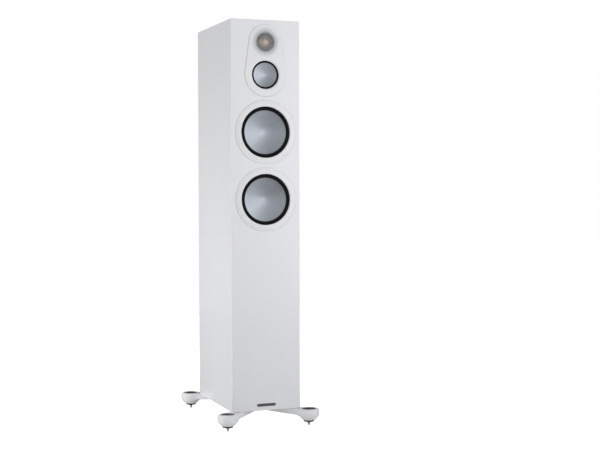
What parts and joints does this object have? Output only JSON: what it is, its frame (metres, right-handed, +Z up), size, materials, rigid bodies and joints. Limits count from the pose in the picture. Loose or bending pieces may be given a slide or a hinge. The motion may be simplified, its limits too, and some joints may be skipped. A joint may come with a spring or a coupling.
{
  "type": "floorstanding speaker",
  "caption": "Slim white floorstanding loudspeaker with twin bass drivers, a midrange and a dome tweeter on spiked outrigger feet.",
  "frame": {"origin": "centre of the bounding box's bottom face: midway between the feet, on the plane of the spike tips", "axes": "+Z up, -Y out of the front baffle, +X to the speaker's right seen from the front"},
  "size_m": [0.2748, 0.3998, 1.044],
  "materials": {
    "white_lacquer": "satin white lacquer over board",
    "mdf": "raw board",
    "black_moulding": "fine moulded grain",
    "wadding": "soft felt",
    "badge_metal": "dark anodised",
    "plated_magnet": "plated",
    "white_plastic": "satin",
    "white_mesh": "satin",
    "basket_paint": "powder coat",
    "surround_rubber": "soft satin",
    "cone_metal": "anodised satin",
    "coil_copper": "enamelled winding",
    "spider_cloth": "resin cloth",
    "ferrite": "matt",
    "pole_steel": "zinc plated",
    "gold_metal": "gold anodised",
    "tweeter_cloth": "coated cloth",
    "gold_plate": "gold plated",
    "red_plastic": "gloss",
    "black_plastic": "satin",
    "circuit_board": "solder mask",
    "wire_jacket": "satin jacket",
    "black_screw": "black oxide",
    "foot_rubber": "matt",
    "white_casting": "satin powder coat",
    "spike_steel": "polished"
  },
  "bodies": {
    "root": {"cabinet_wrap": "white_lacquer", "front_baffle": "white_lacquer", "rear_panel": "white_lacquer", "window_braces": "mdf", "mid_chamber": "black_moulding", "damping_wadding": "wadding", "badge_plate": "badge_metal", "grille_magnets": "plated_magnet", "upper_woofer_trim_ring": "white_plastic", "upper_woofer_basket": "basket_paint", "upper_woofer_surround": "surround_rubber", "upper_woofer_spider": "spider_cloth", "upper_woofer_magnet": "ferrite", "upper_woofer_poles": "pole_steel", "lower_woofer_trim_ring": "white_plastic", "lower_woofer_basket": "basket_paint", "lower_woofer_surround": "surround_rubber", "lower_woofer_spider": "spider_cloth", "lower_woofer_magnet": "ferrite", "lower_woofer_poles": "pole_steel", "mid_basket": "basket_paint", "mid_surround": "surround_rubber", "mid_spider": "spider_cloth", "mid_motor": "pole_steel", "mid_tweeter_plate": "white_plastic", "tweeter_grille": "white_mesh", "tweeter_surround": "tweeter_cloth", "tweeter_motor": "black_moulding", "reflex_ports": "black_moulding", "terminal_cup": "black_moulding", "binding_posts": "gold_plate", "crossover_board": "circuit_board", "crossover_parts": "coil_copper", "internal_wiring": "wire_jacket", "panel_screws": "black_screw", "outrigger_bolts": "black_screw", "foot_rings": "foot_rubber", "front_left_outrigger": "white_casting", "front_right_outrigger": "white_casting", "rear_left_outrigger": "white_casting", "rear_right_outrigger": "white_casting"},
    "upper_woofer_diaphragm": {"upper_woofer_cone": "cone_metal", "upper_woofer_voice_coil": "coil_copper"},
    "lower_woofer_diaphragm": {"lower_woofer_cone": "cone_metal", "lower_woofer_voice_coil": "coil_copper"},
    "mid_diaphragm": {"mid_cone": "cone_metal", "mid_voice_coil": "coil_copper"},
    "tweeter_diaphragm": {"tweeter_dome": "gold_metal"},
    "positive_core": {"positive_nut_core": "gold_plate"},
    "positive_grip": {"positive_nut_shell": "red_plastic"},
    "negative_core": {"negative_nut_core": "gold_plate"},
    "negative_grip": {"negative_nut_shell": "black_plastic"},
    "front_left_stud": {"front_left_spike": "spike_steel"},
    "front_left_wheel": {"front_left_knob": "black_plastic"},
    "front_right_stud": {"front_right_spike": "spike_steel"},
    "front_right_wheel": {"front_right_knob": "black_plastic"},
    "rear_left_stud": {"rear_left_spike": "spike_steel"},
    "rear_left_wheel": {"rear_left_knob": "black_plastic"},
    "rear_right_stud": {"rear_right_spike": "spike_steel"},
    "rear_right_wheel": {"rear_right_knob": "black_plastic"}
  },
  "joints": [
    {"name": "upper_woofer_stroke", "type": "slide", "parent": "root", "child": "upper_woofer_diaphragm", "axis": [0, -1, 0], "range_m": [-0.005, 0.005], "stiffness_N_per_m": 900, "deforming": ["upper_woofer_surround", "upper_woofer_spider"]},
    {"name": "lower_woofer_stroke", "type": "slide", "parent": "root", "child": "lower_woofer_diaphragm", "axis": [0, -1, 0], "range_m": [-0.005, 0.005], "stiffness_N_per_m": 900, "deforming": ["lower_woofer_surround", "lower_woofer_spider"]},
    {"name": "mid_stroke", "type": "slide", "parent": "root", "child": "mid_diaphragm", "axis": [0, -1, 0], "range_m": [-0.0015, 0.0015], "stiffness_N_per_m": 1200, "deforming": ["mid_surround", "mid_spider"]},
    {"name": "tweeter_stroke", "type": "slide", "parent": "root", "child": "tweeter_diaphragm", "axis": [0, -1, 0], "range_m": [-0.0003, 0.0003], "stiffness_N_per_m": 1500, "deforming": ["tweeter_surround"]},
    {"name": "front_left_spike_thread", "type": "slide", "parent": "root", "child": "front_left_stud", "axis": [0, 0, 1], "range_m": [-0.00375, 0.00375]},
    {"name": "front_left_knob_turn", "type": "hinge", "parent": "front_left_stud", "child": "front_left_wheel", "pos_m": [-0.11, -0.1725, 0.044], "axis": [0, 0, 1], "range_deg": [-1081, 1081]},
    {"name": "front_right_spike_thread", "type": "slide", "parent": "root", "child": "front_right_stud", "axis": [0, 0, 1], "range_m": [-0.00375, 0.00375]},
    {"name": "front_right_knob_turn", "type": "hinge", "parent": "front_right_stud", "child": "front_right_wheel", "pos_m": [0.11, -0.1725, 0.044], "axis": [0, 0, 1], "range_deg": [-1081, 1081]},
    {"name": "rear_left_spike_thread", "type": "slide", "parent": "root", "child": "rear_left_stud", "axis": [0, 0, 1], "range_m": [-0.00375, 0.00375]},
    {"name": "rear_left_knob_turn", "type": "hinge", "parent": "rear_left_stud", "child": "rear_left_wheel", "pos_m": [-0.11, 0.1725, 0.044], "axis": [0, 0, 1], "range_deg": [-1081, 1081]},
    {"name": "rear_right_spike_thread", "type": "slide", "parent": "root", "child": "rear_right_stud", "axis": [0, 0, 1], "range_m": [-0.00375, 0.00375]},
    {"name": "rear_right_knob_turn", "type": "hinge", "parent": "rear_right_stud", "child": "rear_right_wheel", "pos_m": [0.11, 0.1725, 0.044], "axis": [0, 0, 1], "range_deg": [-1081, 1081]},
    {"name": "positive_nut_thread", "type": "slide", "parent": "root", "child": "positive_core", "axis": [0, 1, 0], "range_m": [0, 0.006]},
    {"name": "positive_nut_turn", "type": "hinge", "parent": "positive_core", "child": "positive_grip", "pos_m": [0.0095, 0.1455, 0.164], "axis": [0, 1, 0], "range_deg": [0, 2161]},
    {"name": "negative_nut_thread", "type": "slide", "parent": "root", "child": "negative_core", "axis": [0, 1, 0], "range_m": [0, 0.006]},
    {"name": "negative_nut_turn", "type": "hinge", "parent": "negative_core", "child": "negative_grip", "pos_m": [-0.0095, 0.1455, 0.164], "axis": [0, 1, 0], "range_deg": [0, 2161]}
  ],
  "couplings": [
    {"joint": "front_left_knob_turn", "follows": "front_left_spike_thread", "rad_per_m": 5026.5},
    {"joint": "front_right_knob_turn", "follows": "front_right_spike_thread", "rad_per_m": 5026.5},
    {"joint": "rear_left_knob_turn", "follows": "rear_left_spike_thread", "rad_per_m": 5026.5},
    {"joint": "rear_right_knob_turn", "follows": "rear_right_spike_thread", "rad_per_m": 5026.5},
    {"joint": "positive_nut_turn", "follows": "positive_nut_thread", "rad_per_m": 6283.2},
    {"joint": "negative_nut_turn", "follows": "negative_nut_thread", "rad_per_m": 6283.2}
  ]
}
